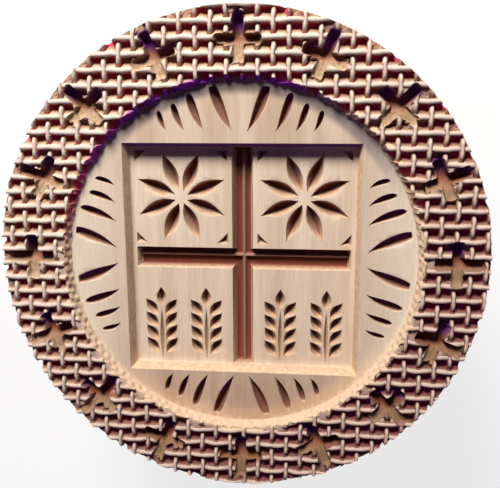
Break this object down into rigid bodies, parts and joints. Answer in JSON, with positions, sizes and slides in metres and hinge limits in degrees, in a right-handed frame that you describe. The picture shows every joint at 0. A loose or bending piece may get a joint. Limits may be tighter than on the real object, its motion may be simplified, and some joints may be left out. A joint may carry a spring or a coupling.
{
  "type": "bread stamp",
  "caption": "Round carved wooden bread stamp: basket-weave rim with sunk crosses, chip-carved leaves, quartered square panel, turned handle behind.",
  "frame": {"origin": "centre of the flat end of the handle, which the stamp stands on", "axes": "+Z out of the carved face, along the handle's axis; +Y towards the top of the carved design; +X to its right"},
  "size_m": [0.12, 0.12, 0.082],
  "materials": {
    "carved_wood": "bare, finely carved",
    "turned_wood": "bare, turned and sanded",
    "dowel_wood": "bare, grooved"
  },
  "bodies": {
    "root": {"stamp_disc": "carved_wood", "handle": "turned_wood", "handle_dowel": "dowel_wood"}
  },
  "joints": []
}
